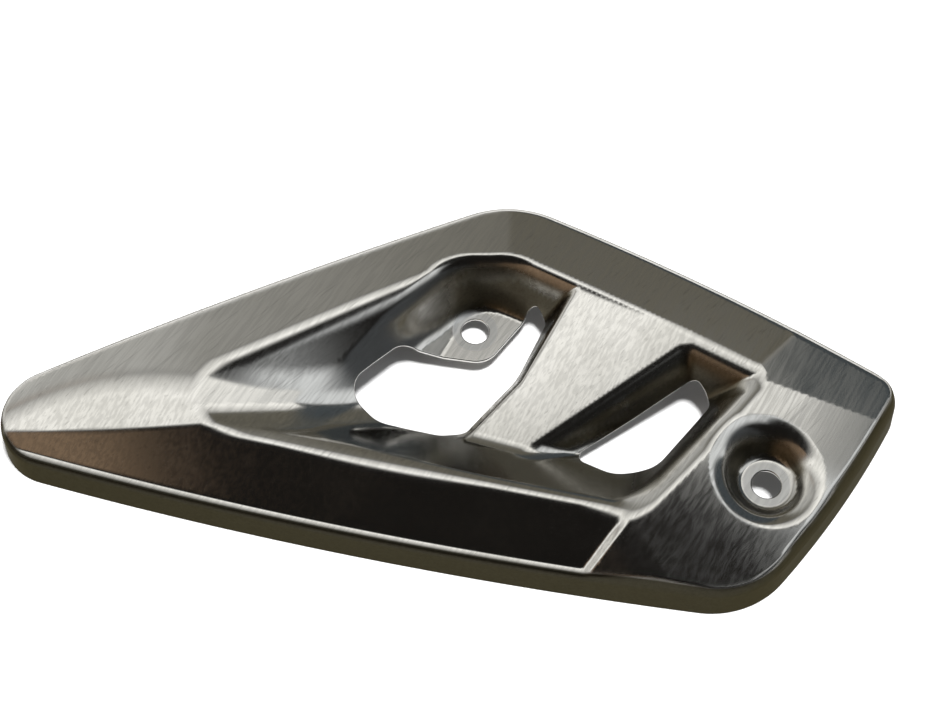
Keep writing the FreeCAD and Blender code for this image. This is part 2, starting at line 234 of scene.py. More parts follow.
def pastTailCrest(p):  # distance beyond the crest line between the recess and the pad
    tail, front = [np.array(c) for c in guard["recess"][2:]]
    along = unit(tail - front)
    away = np.array((along[1], -along[0]))
    return (p - front) @ away, away


def namedPlane(p, name):
    return planeFace(p, guard[name], guard[name + "Height"], grade(name + "Tilt"), heading(name + "Turn"))


def roofFace(p):
    g = guard
    steep = grade("bandTilt")
    band = lower(rise(sideDepth(p, 3), g["bandHeight"], steep),
                 rise(sideDepth(p, 2), g["bandHeight"], steep), g["softRound"])
    past = np.minimum(p[:, 0] - g["noseDropStart"], 0)
    band = (band[0] - past ** 2 / (2 * g["noseDropRound"]), band[1] - past / g["noseDropRound"], band[2])
    front = rise(sideDepth(p, 0), g["beadHeight"] - grade("lowerTilt") * g["ledgeEnd"], grade("lowerTilt"))
    main = lower(lower(band, namedPlane(p, "noseRidge"), g["softRound"]), front, g["ridgeRound"])
    pad = planeFace(p, g["padTop"], g["padTopHeight"], grade("padTilt"), heading("padTurn"))
    tail = planeFace(p, g["padTop"], g["padTopHeight"], grade("tailFaceTilt"), heading("tailFaceTurn"))
    rear = lower(lower(pad, namedPlane(p, "padFront"), g["padRound"]), tail, g["ridgeRound"])
    # the pad and the tail face begin at a straight step along the tail crest
    beyond, away = pastTailCrest(p)
    main = lower(main, rear, g["ridgeRound"])
    rear = lower(rear, namedPlane(p, "padCorner"), g["softRound"])
    share, growth = ease(beyond / g["stepWidth"] + 0.5, g["stepEnds"])
    growth = growth / g["stepWidth"] * (rear[0] - main[0])
    mixed = [share * a + (1 - share) * b for a, b in zip(rear, main)]
    return mixed[0], mixed[1] + growth * away[0], mixed[2] + growth * away[1]


def barFace(p):
    g = guard
    top = planeFace(p, g["barFoot"], g["barFootHeight"], grade("barTilt"), heading("barTurn"))
    walls = []
    for side, turn, sign in (("barLeft", "barLeftTurn", 1), ("barLeft", "barFootTurn", 1),
                             ("barRight", "barRightTurn", -1), ("barStrip", "barStripTurn", -1)):
        along = heading(turn)
        outward = np.array((-along[1], along[0])) * sign
        drop = planeFace(p, g[side], 0.0, grade(side + "Tilt"), outward)
        walls.append(tuple(t - d for t, d in zip(top, drop)))
    left = higher(walls[0], walls[1], g["hollowRound"])
    right = higher(walls[2], walls[3], g["hollowRound"])
    return lower(lower(top, left, g["barRound"]), right, g["barRightRound"])


def backWall(p, end):  # steepens from the nose towards the pocket
    g = guard
    start = np.array(g["backWallStart"])
    run = end - start
    along = unit(run)
    uphill = np.array((-along[1], along[0]))
    share = (p - start) @ run / (run @ run)
    first, last = grade("backWallStartTilt"), math.tan(math.radians(g["recessTilts"][0]))
    steep = first + (last - first) * np.clip(share, 0, 1)
    inset = (p - start) @ uphill
    twist = np.where((share > 0) & (share < 1), (last - first) / np.linalg.norm(run), 0) * inset
    return (g["recessHeights"][0] + steep * inset,
            steep * uphill[0] + twist * along[0], steep * uphill[1] + twist * along[1])


def recessFace(p):
    g = guard
    corner = [np.array(c) for c in g["recess"]]
    walls = [backWall(p, corner[1])]
    for i in range(1, 4):
        along = unit(corner[(i + 1) % 4] - corner[i])
        steep = math.tan(math.radians(g["recessTilts"][i]))
        walls.append(planeFace(p, corner[i], g["recessHeights"][i], steep, np.array((-along[1], along[0]))))
    along = heading("pocketTurn")
    pocket = [planeFace(p, g["pocket"], g["floorHeight"], grade("pocketTilt"), uphill)
              for uphill in (np.array((-along[1], along[0])), np.array((0.0, 1.0)))]
    back = lower(walls[0], pocket[0], g["pocketRound"])
    back = higher(higher(back, pocket[1], g["pocketHollow"]), walls[1], g["pocketHollow"])
    toNose = np.clip((g["rampHollowStart"] - p[:, 0]) / g["rampHollowGrowth"], 0, 1)
    least = 2 * g["hollowRound"]
    shape = higher(namedPlane(p, "noseRamp"), back, least + (g["rampHollow"] - least) * toNose)
    shape = higher(shape, walls[2], g["tailHollow"])
    shape = higher(shape, walls[3], g["frontHollow"])
    return higher(shape, levelFace(p, g["floorHeight"]), g["seatRound"])


def crestBend(p):  # rounding of the recess's crest, larger at the tail and along the back
    g = guard
    near = np.clip(1 - np.abs(pastTailCrest(p)[0]) / g["tailCrestRound"], 0, 1)
    bend = g["crestRound"] + (g["tailCrestRound"] - g["crestRound"]) * near
    ramp = heading("noseRampTurn")
    behind = (p - np.array(g["noseRamp"])) @ np.array((ramp[1], -ramp[0])) / g["backCrestReach"]
    toNose = np.clip((g["backCrestEnd"] - p[:, 0]) / g["backCrestFade"], 0, 1)
    return bend + (g["backCrestRound"] - g["crestRound"]) * np.clip(behind, 0, 1) * toNose


def pressedFace(p):
    g = guard
    top = higher(roofFace(p), levelFace(p, g["beadHeight"]), g["valleyRound"])
    depth = edgeDepth(p)
    toFront = np.clip(0.5 + g["edgeTiltGain"] * depth[2], 0, 1)
    steep = grade("backEdgeTilt") + (grade("frontEdgeTilt") - grade("backEdgeTilt")) * toFront
    edge = rise(depth, g["skirtTop"] * (1 - steep * grade("skirtFlare")), steep)
    lift = np.clip((top[0] - g["beadHeight"]) / (g["bandHeight"] - g["beadHeight"]), 0, 1)
    top = lower(top, edge, g["beadRound"] + (g["edgeRound"] - g["beadRound"]) * lift)
    carved = lower(top, recessFace(p), crestBend(p))
    climb = (p - np.array(g["barFoot"])) @ heading("barTurn") / g["barLength"]
    hollow = g["footHollow"] + (g["seatRound"] - g["footHollow"]) * np.clip(climb, 0, 1)
    top = higher(carved, lower(top, barFace(p), g["crestRound"]), hollow)
    dimple = np.array(g["dimple"])
    cup = cone(p, dimple, dimple, g["dimpleRound"], g["dimpleHeight"], grade("dimpleTilt"))
    cup = higher(cup, levelFace(p, g["dimpleHeight"]), g["seatRound"])
    return lower(top, cup, g["dimpleRim"])


def coinedDepth(p):  # shallow ring pressed round each bolt hole
    soft = guard["seatSoft"]
    total = np.zeros(len(p))
    for seat in boltSeats:
        out = np.linalg.norm(p - np.array(guard[seat]), axis=1)
        share = np.clip((guard["seatWidth"] / 2 + soft - out) / (2 * soft), 0, 1)
        total += guard["seatDepth"] * share ** 2 * (3 - 2 * share)
    return total


def normalsOf(face):
    n = np.stack((-face[1], -face[2], np.ones(len(face[0]))), axis=1)
    return n / np.linalg.norm(n, axis=1, keepdims=True)


def fadeIn(value, start, length):
    return np.clip((value - start) / length, 0, 1)


def edgeMark(p, face):  # 1 on the steep edge roll and the front's bead, which are dull like the skirt and darkened with the same painted shade
    g = guard
    depth = edgeDepth(p)
    near = np.clip((g["edgeMarkDepth"] - depth[0]) / g["edgeMarkFade"], 0, 1)
    roll = near * fadeIn(np.hypot(face[1], face[2]), *g["edgeMarkSlope"])
    bead = np.clip((g["ledgeEnd"] - g["beadMarkInset"] - depth[0]) / g["beadMarkFade"], 0, 1)
    return np.maximum(roll, bead * np.clip(depth[2] * g["beadMarkGain"], 0, 1))


def recessPaintedShade(p, face):  # 1 on the steep walls of the recess and the dimple, which are darkened with painted shade
    g = guard
    sunk = fadeIn(roofFace(p)[0] - face[0], *g["paintedShadeDepth"])
    inside = fadeIn(edgeDepth(p)[0], g["edgeMarkDepth"], g["edgeMarkFade"])
    inside = inside * fadeIn(p[:, 0], *g["paintedShadeStart"])
    return sunk * inside * fadeIn(np.hypot(face[1], face[2]), *g["paintedShadeSlope"])


# crests are rubbed lighter, partly real wear and partly a painted highlight along the bends
def crestWearAndSheen(p):  # 1 where the face bends sharply over a crest
    h = guard["wearAndSheenReach"]
    total = -4 * pressedFace(p)[0]
    for shift in ((h, 0), (-h, 0), (0, h), (0, -h)):
        total = total + pressedFace(p + np.array(shift))[0]
    return np.clip(-total / h ** 2 / guard["wearAndSheenBend"], 0, 1)


# plan loops, all anticlockwise
def arcPoints(centre, radius, first, last, step):
    count = max(2, math.ceil(abs(last - first) * radius / step))
    turns = first + (last - first) * np.arange(count) / count
    return centre + radius * np.stack((np.cos(turns), np.sin(turns)), axis=1)


def outlineLoop(inset, step):
    runs = []
    for i in range(4):
        after = (i + 1) % 4
        ends = (sideTurns[i][1], sideTurns[after][0], sideTurns[after][1])
        starts = [math.atan2(v[1], v[0]) for v in ends]
        starts = [starts[0]] + [starts[0] + (t - starts[0]) % (2 * math.pi) for t in starts[1:]]
        runs.append(arcPoints(sides[i][0], sides[i][1] - inset, starts[0], starts[1], step))
        runs.append(arcPoints(centres[after], rounds[after] - inset, starts[1], starts[2], step))
    return np.concatenate(runs)


def roundedLoop(points, grow, step):  # straight runs with rounded corners, grown outwards
    points = np.array(points)
    area = sum(cross(points[i - 1, :2], points[i, :2]) for i in range(len(points)))
    if area < 0:
        points = points[::-1]
    runs = []
    ends = []
    for i, (x, y, radius) in enumerate(points):
        here = np.array((x, y))
        before = unit(points[i - 1, :2] - here)
        after = unit(points[(i + 1) % len(points), :2] - here)
        convex = cross(-before, after) > 0
        half = math.acos(np.clip(before @ after, -1, 1)) / 2
        centre = here + unit(before + after) * radius / math.sin(half)
        size = radius + grow if convex else radius - grow
        start, end = [here + v * radius / math.tan(half) - centre for v in (before, after)]
        first = math.atan2(start[1], start[0])
        sweep = (math.pi - 2 * half) * (1 if convex else -1)
        ends.append((centre, size, first, sweep))
    for i, (centre, size, first, sweep) in enumerate(ends):
        arc = arcPoints(centre, size, first, first + sweep, step)
        last = centre + size * np.array((math.cos(first + sweep), math.sin(first + sweep)))
        nextCentre, nextSize, nextFirst, _ = ends[(i + 1) % len(ends)]
        goal = nextCentre + nextSize * np.array((math.cos(nextFirst), math.sin(nextFirst)))
        count = max(1, math.ceil(np.linalg.norm(goal - last) / step))
        runs += [arc, last + (goal - last) * (np.arange(count) / count)[:, None]]
    return np.concatenate(runs)


def circleLoop(centre, radius, step):
    return arcPoints(np.array(centre), radius, 0.0, 2 * math.pi, step)


def loopNormals(loop):  # plan normals, to the right of the run: outwards for an anticlockwise loop
    run = np.roll(loop, -1, axis=0) - np.roll(loop, 1, axis=0)
    out = np.stack((run[:, 1], -run[:, 0]), axis=1)
    return out / np.linalg.norm(out, axis=1, keepdims=True)


def insideLoop(p, loop):
    inside = np.zeros(len(p), dtype=bool)
    for a, b in zip(loop, np.roll(loop, -1, axis=0)):
        over = (a[1] > p[:, 1]) != (b[1] > p[:, 1])
        rising = b[1] - a[1] if b[1] != a[1] else 1e-12
        inside ^= over & (p[:, 0] < a[0] + (p[:, 1] - a[1]) * (b[0] - a[0]) / rising)
    return inside


def loopDistance(p, loop):
    best = np.full(len(p), np.inf)
    for a, b in zip(loop, np.roll(loop, -1, axis=0)):
        run = b - a
        share = np.clip((p - a) @ run / (run @ run), 0, 1)
        best = np.minimum(best, np.linalg.norm(p - a - share[:, None] * run, axis=1))
    return best


def ringPoints(edgeInset):  # rings along the edge and at the bolt seats
    g = guard
    step = g["spacing"]
    rings = [outlineLoop(edgeInset + g["edgeLoopStep"] * (k + 1), step) for k in range(g["edgeLoops"])]
    for seat in boltSeats:
        for offset in g["seatRings"]:
            rings.append(circleLoop(g[seat], g["seatWidth"] / 2 + offset, step * g["seatStep"]))
    return np.concatenate(rings)


def stepPoints(innerEdge):  # rows along the step in front of the recess
    g = guard
    foot = np.array(g["recess"][3])
    away = pastTailCrest(foot[None])[1]
    down = np.arange(*g["stepRun"], g["spacing"])[:, None] * np.array((away[1], -away[0]))
    rows = np.concatenate([foot + down + away * g["stepWidth"] * k for k in g["stepRows"]])
    return rows[edgeDepth(rows)[0] > innerEdge]


def gridPoints(outer, innerEdge):  # triangular grid, thinned at the bolt seats and along the step
    g = guard
    step = g["spacing"]
    low, high = outer.min(axis=0), outer.max(axis=0)
    across = np.arange(low[0], high[0], step)
    rows = np.arange(low[1], high[1], step * math.sqrt(3) / 2)
    grid = np.concatenate([np.stack((across + (k % 2) * step / 2, np.full(len(across), y)), axis=1)
                           for k, y in enumerate(rows)])
    grid = grid[edgeDepth(grid)[0] > innerEdge]
    for seat in boltSeats:
        gap = np.abs(np.linalg.norm(grid - np.array(g[seat]), axis=1) - g["seatWidth"] / 2)
        grid = grid[gap > g["seatClear"]]
    # known fault: gap is no direction, so only a narrow strip along the step's line is left out
    inRows = np.abs(pastTailCrest(grid)[0]) < 0.5 * g["stepWidth"] + g["rowClear"] * step
    down = (grid - np.array(g["recess"][3])) @ np.array((gap[1], -gap[0]))
    start, end = g["stepRun"]
    return grid[~(inRows & (down > start - g["rowClear"] * step) & (down < end))]


def clearOfCuts(loose, cuts):
    g = guard
    for cut in cuts:
        near = np.linalg.norm(loose - cut.mean(axis=0), axis=1) < g["cutReach"]
        keep = np.ones(len(loose), dtype=bool)
        spots = loose[near]
        keep[near] = ~insideLoop(spots, cut) & (loopDistance(spots, cut) > g["cutClear"] * g["spacing"])
        loose = loose[keep]
    return loose


def planTriangles(loops, loose):  # all points, where each loop starts, and the triangles between the loops
    plan = np.concatenate(loops + [loose])
    edges = []
    starts = []
    first = 0
    for loop in loops:
        starts.append(first)
        edges += [(first + k, first + (k + 1) % len(loop)) for k in range(len(loop))]
        first += len(loop)
    result = delaunay_2d_cdt([Vector(p) for p in plan], edges, [], 0, 1e-7)
    flat = np.array([v[:] for v in result[0]])
    triangles = np.array(result[2])
    if len(flat) != len(plan):
        raise RuntimeError("the plan's points were merged")
    middle = flat[triangles].mean(axis=1)
    keep = insideLoop(middle, loops[0])
    for cut in loops[1:]:
        keep &= ~insideLoop(middle, cut)
    triangles = triangles[keep]
    print("plan", len(plan), "points,", len(triangles), "triangles a side")
    return plan, starts, triangles


def guardObject(vertices, triangles, turns, marks):
    mesh = bpy.data.meshes.new("heelGuard")
    mesh.vertices.add(len(vertices))
    mesh.vertices.foreach_set("co", (vertices * mm).ravel())
    mesh.loops.add(3 * len(triangles))
    mesh.loops.foreach_set("vertex_index", triangles.ravel().astype(np.int32))
    mesh.polygons.add(len(triangles))
    mesh.polygons.foreach_set("loop_start", np.arange(0, 3 * len(triangles), 3, dtype=np.int32))
    mesh.update(calc_edges=True)
    mesh.validate()
    mesh.shade_smooth()
    mesh.normals_split_custom_set_from_vertices(turns.tolist())
    for name, parts in marks.items():
        layer = mesh.attributes.new(name, "FLOAT", "POINT")
        layer.data.foreach_set("value", np.concatenate(parts).astype(np.float32))
    obj = bpy.data.objects.new("heelGuard", mesh)
    bpy.context.scene.collection.objects.link(obj)
    print("guard mesh", len(vertices), "points,", len(triangles), "triangles")
    return obj


def buildGuard():
    g = guard
    step = g["spacing"]
    cutRound = g["cutRound"]
    sheet = g["sheet"]
    flare = grade("skirtFlare")
    edgeInset = flare * g["skirtTop"]
    innerEdge = edgeInset + g["edgeLoopStep"] * (g["edgeLoops"] + 1)
    outer = outlineLoop(edgeInset, step)
    cuts = [roundedLoop(g[name], cutRound, step) for name in ("largeOpening", "smallOpening")]
    cuts += [circleLoop(g[seat], g["boltHole"] / 2 + cutRound, step * g["holeStep"]) for seat in boltSeats]
    loose = np.concatenate((ringPoints(edgeInset), stepPoints(innerEdge), gridPoints(outer, innerEdge)))
    plan, starts, triangles = planTriangles([outer] + cuts, clearOfCuts(loose, cuts))

    face = pressedFace(plan)
    normals = normalsOf(face)
    top = np.column_stack((plan, face[0]))
    bottom = top - normals * sheet
    coin = coinedDepth(plan)
    top[:, 2] -= coin
    count = len(top)
    points = [top, bottom]
    turns = [normals, -normals]
    faces = [triangles, triangles[:, ::-1] + count]
    marks = {"skirt": edgeMark(plan, face), "crest": crestWearAndSheen(plan),
             "seat": coin / g["seatDepth"], "paintedShade": recessPaintedShade(plan, face)}
    marks = {name: [mark, np.zeros(count)] for name, mark in marks.items()}

    def addRing(ring, turn, skirt):
        first = sum(len(part) for part in points)
        points.append(ring)
        turns.append(turn / np.linalg.norm(turn, axis=1, keepdims=True))
        for name, parts in marks.items():
            parts.append(np.full(len(ring), skirt if name == "skirt" else 0.0))
        return np.arange(first, first + len(ring))

    def joinRings(rings):  # quads as two triangles, facing out
        for a, b in zip(rings[:-1], rings[1:]):
            a2, b2 = np.roll(a, -1), np.roll(b, -1)
            faces.append(np.stack((a, b, b2), axis=1))
            faces.append(np.stack((a, b2, a2), axis=1))

    # skirt: down the outside, round the rim, up the inside
    size = len(outer)
    depth = edgeDepth(outer)
    out = np.column_stack((-depth[1], -depth[2]))
    tilt = math.radians(g["skirtFlare"])
    outward = np.column_stack((out * math.cos(tilt), np.full(size, math.sin(tilt))))
    inward = -outward
    down = np.column_stack((out * 0, np.full(size, -1.0)))
    turns[0][:size] = normals[:size] + outward
    turns[0][:size] /= np.linalg.norm(turns[0][:size], axis=1, keepdims=True)

    def skirtRing(inset, z, turn):
        shift = np.broadcast_to(edgeInset - inset, size)
        ring = np.column_stack((outer + out * shift[:, None], np.broadcast_to(z, size)))
        return addRing(ring, turn, 1.0)

    rim = g["rimRound"]
    bend = g["rimBend"] * rim
    rings = [np.arange(size)]
    for share in g["skirtRings"]:
        z = top[:size, 2] * share
        rings.append(skirtRing(flare * z, z, outward))
    for inset, z, turn in ((flare * rim, rim, outward), (bend, bend, outward + down), (rim, 0.0, down),
                           (sheet - rim, 0.0, down), (sheet - bend, bend, inward + down),
                           (sheet + flare * rim, rim, inward)):
        rings.append(skirtRing(inset, z, turn))
    for share in g["innerRings"]:
        z = bottom[:size, 2] * share
        rings.append(skirtRing(sheet + flare * z, z, inward))
    rings.append(np.arange(size) + count)
    joinRings(rings)

    # cut edges of the openings and holes
    bend = cutRound * (1 - math.sqrt(0.5))
    for start, loop in zip(starts[1:], cuts):
        index = np.arange(start, start + len(loop))
        n = normals[index]
        toHole = np.column_stack((-loopNormals(loop), np.zeros(len(loop))))
        toHole -= (toHole * n).sum(axis=1, keepdims=True) * n
        toHole /= np.linalg.norm(toHole, axis=1, keepdims=True)
        thick = sheet - coin[index][:, None]
        rings = [index]
        for reach, fall, turn in ((cutRound - bend, bend, n + toHole),
                                  (cutRound, cutRound, toHole),
                                  (cutRound, thick - cutRound, toHole),
                                  (cutRound - bend, thick - bend, toHole - n)):
            rings.append(addRing(top[index] + toHole * reach - n * fall, turn, 0.0))
        rings.append(index + count)
        joinRings([ring[::-1] for ring in rings])
    return guardObject(np.concatenate(points), np.concatenate(faces), np.concatenate(turns), marks)


heelGuard = buildGuard()
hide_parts("heel_guard")
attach(heelGuard, "root")


# node helpers
def addNode(tree, kind, values=None, **settings):
    node = tree.nodes.new(kind)
    for name, value in settings.items():
        setattr(node, name, value)
    for name, value in (values or {}).items():
        node.inputs[name].default_value = value
    return node


def wire(tree, source, target):
    tree.links.new(source, target)


def mathNode(tree, operation, a, b=None, clamp=False):
    node = addNode(tree, "ShaderNodeMath", operation=operation, use_clamp=clamp)
    for socket, value in zip(node.inputs, (a, b)):
        if value is None:
            continue
        if isinstance(value, (int, float)):
            socket.default_value = value
        else:
            wire(tree, value, socket)
    return node.outputs[0]


def mapRange(tree, value, low, high, start=0.0, end=1.0):
    node = addNode(tree, "ShaderNodeMapRange", interpolation_type="SMOOTHSTEP")
    wire(tree, value, node.inputs["Value"])
    for name, number in zip(("From Min", "From Max", "To Min", "To Max"), (low, high, start, end)):
        node.inputs[name].default_value = number
    return node.outputs[0]


def mixColour(tree, share, a, b, blend="MIX"):
    node = addNode(tree, "ShaderNodeMix", data_type="RGBA", blend_type=blend)
    sockets = (node.inputs["Factor"], node.inputs[6], node.inputs[7])
    for socket, value in zip(sockets, (share, a, b)):
        if isinstance(value, (int, float, tuple)):
            socket.default_value = value
        else:
            wire(tree, value, socket)
    return node.outputs[2]


# brushed sheet steel: fine lines one way, cloudy sheen, polished crests that are partly a painted
# highlight, a dull skirt darkened with painted shade, and painted shade on the steep recess walls
steel = {
    "colour": (0.64, 0.63, 0.605, 1.0), "cloudColour": (0.59, 0.58, 0.55, 1.0),
    "wearAndSheenColour": (0.67, 0.66, 0.64, 1.0), "seatColour": (0.60, 0.60, 0.59, 1.0),
    # painted shade: near-black brown on the steep walls of the recess and the dimple
    "paintedShadeColour": (0.14, 0.125, 0.09, 1.0),
    # the skirt and edge roll are duller steel, and their near-black colour is painted shade standing in for
    # the dark reflections there
    "skirtDullAndShadeColour": (0.046, 0.042, 0.030, 1.0), "skirtTint": (0.50, 0.48, 0.42, 1.0),
    "roughness": 0.12, "wearAndSheenRoughness": 0.16, "paintedShadeRoughness": 0.30,
    "skirtRoughness": 0.50, "seatRoughness": 0.36, "anisotropy": 0.2,
    # two sets of brushed lines: turn, scale along and across, and share
    "brushTurn": 58.0, "fineAlong": 90.0, "fineAcross": 1700.0, "fineShare": 0.6,
    "broadTurn": 62.0, "broadAlong": 22.0, "broadAcross": 900.0, "broadShare": 0.4,
    "lineRange": (0.34, 0.66), "brushShade": 0.12, "brushRough": 0.05,
    "brushBump": 0.0015, "bumpDistance": 0.0004,
    # scratches, clouds, and crest wear that is partly a painted highlight, each with the range of its noise
    # that shows
    "scratchTurn": 44.0, "scratchAlong": 24.0, "scratchAcross": 2400.0,
    "scratchRange": (0.70, 0.76), "scratchShade": 0.86,
    "cloudScale": 34.0, "cloudDetail": 5.0, "cloudGrain": 0.62, "cloudRange": (0.34, 0.68),
    "cloudRough": 0.05,
    "wearAndSheenRange": (0.9, 0.1, 0.1, 0.6),
}


def stretchedNoise(tree, place, turn, along, across, detail):
    turned = addNode(tree, "ShaderNodeMapping", {"Rotation": (0, 0, -math.radians(turn))})
    wire(tree, place, turned.inputs["Vector"])
    stretch = addNode(tree, "ShaderNodeMapping", {"Scale": (along, across, across)})
    wire(tree, turned.outputs[0], stretch.inputs["Vector"])
    noise = addNode(tree, "ShaderNodeTexNoise", {"Scale": 1.0, "Detail": detail, "Roughness": 0.5})
    wire(tree, stretch.outputs[0], noise.inputs["Vector"])
    return noise.outputs["Fac"]


def brushedSteel():
    s = steel
    material = bpy.data.materials.new("brushedSteel")
    material.use_nodes = True
    tree = material.node_tree
    shader = tree.nodes["Principled BSDF"]
    shader.inputs["Metallic"].default_value = 1.0
    shader.inputs["Anisotropic"].default_value = s["anisotropy"]
    across = math.radians(s["brushTurn"] + 90)
    tangent = addNode(tree, "ShaderNodeCombineXYZ", {"X": math.cos(across), "Y": math.sin(across)})
    wire(tree, tangent.outputs[0], shader.inputs["Tangent"])
    place = addNode(tree, "ShaderNodeTexCoord").outputs["Object"]
    fine = stretchedNoise(tree, place, s["brushTurn"], s["fineAlong"], s["fineAcross"], 1.0)
    broad = stretchedNoise(tree, place, s["broadTurn"], s["broadAlong"], s["broadAcross"], 2.0)
    scratch = stretchedNoise(tree, place, s["scratchTurn"], s["scratchAlong"], s["scratchAcross"], 0.0)
    scratch = mapRange(tree, scratch, *s["scratchRange"])
    cloud = addNode(tree, "ShaderNodeTexNoise",
                    {"Scale": s["cloudScale"], "Detail": s["cloudDetail"], "Roughness": s["cloudGrain"]})
    wire(tree, place, cloud.inputs["Vector"])
    cloud = mapRange(tree, cloud.outputs["Fac"], *s["cloudRange"])
    fine = mathNode(tree, "MULTIPLY", fine, s["fineShare"])
    broad = mathNode(tree, "MULTIPLY", broad, s["broadShare"])
    lines = mapRange(tree, mathNode(tree, "ADD", fine, broad), *s["lineRange"])
    skirt, crest, seat, paintedShade = [addNode(tree, "ShaderNodeAttribute", attribute_name=name).outputs["Fac"]
                                 for name in ("skirt", "crest", "seat", "paintedShade")]
    wearAndSheen = mathNode(tree, "MULTIPLY", crest, mapRange(tree, cloud, *s["wearAndSheenRange"]))

    colour = mixColour(tree, cloud, s["colour"], s["cloudColour"])
    # painted shade darkens the steep walls of the recess and the dimple
    colour = mixColour(tree, paintedShade, colour, s["paintedShadeColour"])
    # crests a touch lighter: partly wear, partly a painted highlight
    colour = mixColour(tree, wearAndSheen, colour, s["wearAndSheenColour"])
    colour = mixColour(tree, seat, colour, s["seatColour"])
    # the skirt's duller finish, with its colour darkened into painted shade
    colour = mixColour(tree, skirt, colour, s["skirtDullAndShadeColour"])
    shade = mapRange(tree, lines, 0.0, 1.0, 1 - s["brushShade"], 1.0)
    shade = mathNode(tree, "MULTIPLY", shade, mapRange(tree, scratch, 0.0, 1.0, 1.0, s["scratchShade"]))
    colour = mixColour(tree, 1.0, colour, shade, "MULTIPLY")
    wire(tree, colour, shader.inputs["Base Color"])
    tint = mixColour(tree, skirt, (1.0, 1.0, 1.0, 1.0), s["skirtTint"])
    wire(tree, tint, shader.inputs["Specular Tint"])

    def toward(rough, mask, goal):
        node = addNode(tree, "ShaderNodeMix", {"B": goal})
        wire(tree, mask, node.inputs["Factor"])
        wire(tree, rough, node.inputs["A"])
        return node.outputs["Result"]

    half = s["brushRough"] / 2
    rough = mapRange(tree, lines, 0.0, 1.0, s["roughness"] + half, s["roughness"] - half)
    rough = mathNode(tree, "ADD", rough, mathNode(tree, "MULTIPLY", cloud, s["cloudRough"]))
    for mask, name in ((paintedShade, "paintedShadeRoughness"), (wearAndSheen, "wearAndSheenRoughness"),
                       (seat, "seatRoughness"), (skirt, "skirtRoughness")):
        rough = toward(rough, mask, s[name])
    wire(tree, rough, shader.inputs["Roughness"])
    bump = addNode(tree, "ShaderNodeBump", {"Strength": s["brushBump"], "Distance": s["bumpDistance"]})
    wire(tree, lines, bump.inputs["Height"])
    wire(tree, bump.outputs[0], shader.inputs["Normal"])
    return material


heelGuard.data.materials.append(brushedSteel())

# pale floor with the guard's shadow on it, which the camera sees go over to white further away
floorLook = {
    "half": 2.5, "colour": (0.55, 0.55, 0.55, 1.0), "roughness": 0.9, "white": 0.05, "farGlow": (0.3, 1.2),
}


def paleFloor():
    f = floorLook
    half = f["half"]
    corners = [(-half, -half, 0), (half, -half, 0), (half, half, 0), (-half, half, 0)]
    mesh = bpy.data.meshes.new("paleFloor")
    mesh.from_pydata(corners, [], [(0, 1, 2, 3)])
    obj = bpy.data.objects.new("paleFloor", mesh)
    bpy.context.scene.collection.objects.link(obj)
    material = bpy.data.materials.new("paleFloor")
    material.use_nodes = True
    tree = material.node_tree
    shader = tree.nodes["Principled BSDF"]
    shader.inputs["Base Color"].default_value = f["colour"]
    shader.inputs["Roughness"].default_value = f["roughness"]
    shader.inputs["Specular IOR Level"].default_value = 0.0
    shader.inputs["Emission Color"].default_value = (1, 1, 1, 1)
    path = addNode(tree, "ShaderNodeLightPath")
    seen = mathNode(tree, "MAXIMUM", path.outputs["Is Camera Ray"], path.outputs["Is Glossy Ray"])
    seen = mathNode(tree, "MAXIMUM", seen, path.outputs["Is Transmission Ray"])
    away = addNode(tree, "ShaderNodeVectorMath", operation="LENGTH")
    wire(tree, addNode(tree, "ShaderNodeTexCoord").outputs["Object"], away.inputs[0])
    far = mapRange(tree, away.outputs["Value"], *f["farGlow"])
    far = mathNode(tree, "MULTIPLY", path.outputs["Is Camera Ray"], far)
    glow = mathNode(tree, "MAXIMUM", mathNode(tree, "MULTIPLY", seen, f["white"]), far)
    wire(tree, glow, shader.inputs["Emission Strength"])
    mesh.materials.append(material)
    return obj


paleFloor()

# studio in the metal: bright strip overhead that fades to the back, grey behind, dark in front
studio = {
    # corners of the strip on a ceiling one metre up, anticlockwise from its front left
    "stripEdge": ((-1.7, -0.54), (0.285, 0.0), (0.59, 0.335), (0.42, 0.58)), "stripSoft": 0.04,
    # light at distances behind the front edge
    "strip": ((-0.10, 0.0), (0.0, 0.30), (0.09, 0.95), (0.15, 1.42), (0.22, 1.45), (0.34, 1.15),
              (0.44, 1.0), (0.60, 0.72), (0.76, 0.30), (0.95, 0.0)),
    "stripColour": (1.0, 0.995, 0.965),
    "backLeft": (0.62, 0.62, 0.60, 1.0), "backRight": (0.17, 0.16, 0.13, 1.0),
    "front": (0.012, 0.011, 0.010, 1.0), "frontLeft": (0.29, 0.20, 0.13, 1.0),
    "frontRight": (0.07, 0.075, 0.08, 1.0), "right": (0.075, 0.088, 0.097, 1.0),
    "farRight": (0.95, 0.98, 1.0, 1.0), "farLeft": (0.95, 0.94, 0.90, 1.0),
    "horizon": (0.10, 0.09, 0.07, 1.0), "toCamera": (1.0, 1.0, 1.0, 1.0),
    # where each fades in on that ceiling, X before Y, and by height above the horizon
    "backFade": (-0.75, 0.15), "frontLeftFade": (-0.72, -0.64), "frontRightFade": (1.0, 1.4),
    "frontToBack": (0.0, 0.80), "rightFade": ((0.45, 0.65), (0.1, 0.35)),
    "farRightFade": ((0.36, 0.46), (-0.95, -0.2)), "farRightEnd": (0.24, 0.12),
    "farLeftFade": ((-1.2, -1.8), (-0.2, 0.2)), "farLeftRise": (0.0, 0.08),
    "horizonFade": (0.14, 0.02), "leastRise": 0.05,
}


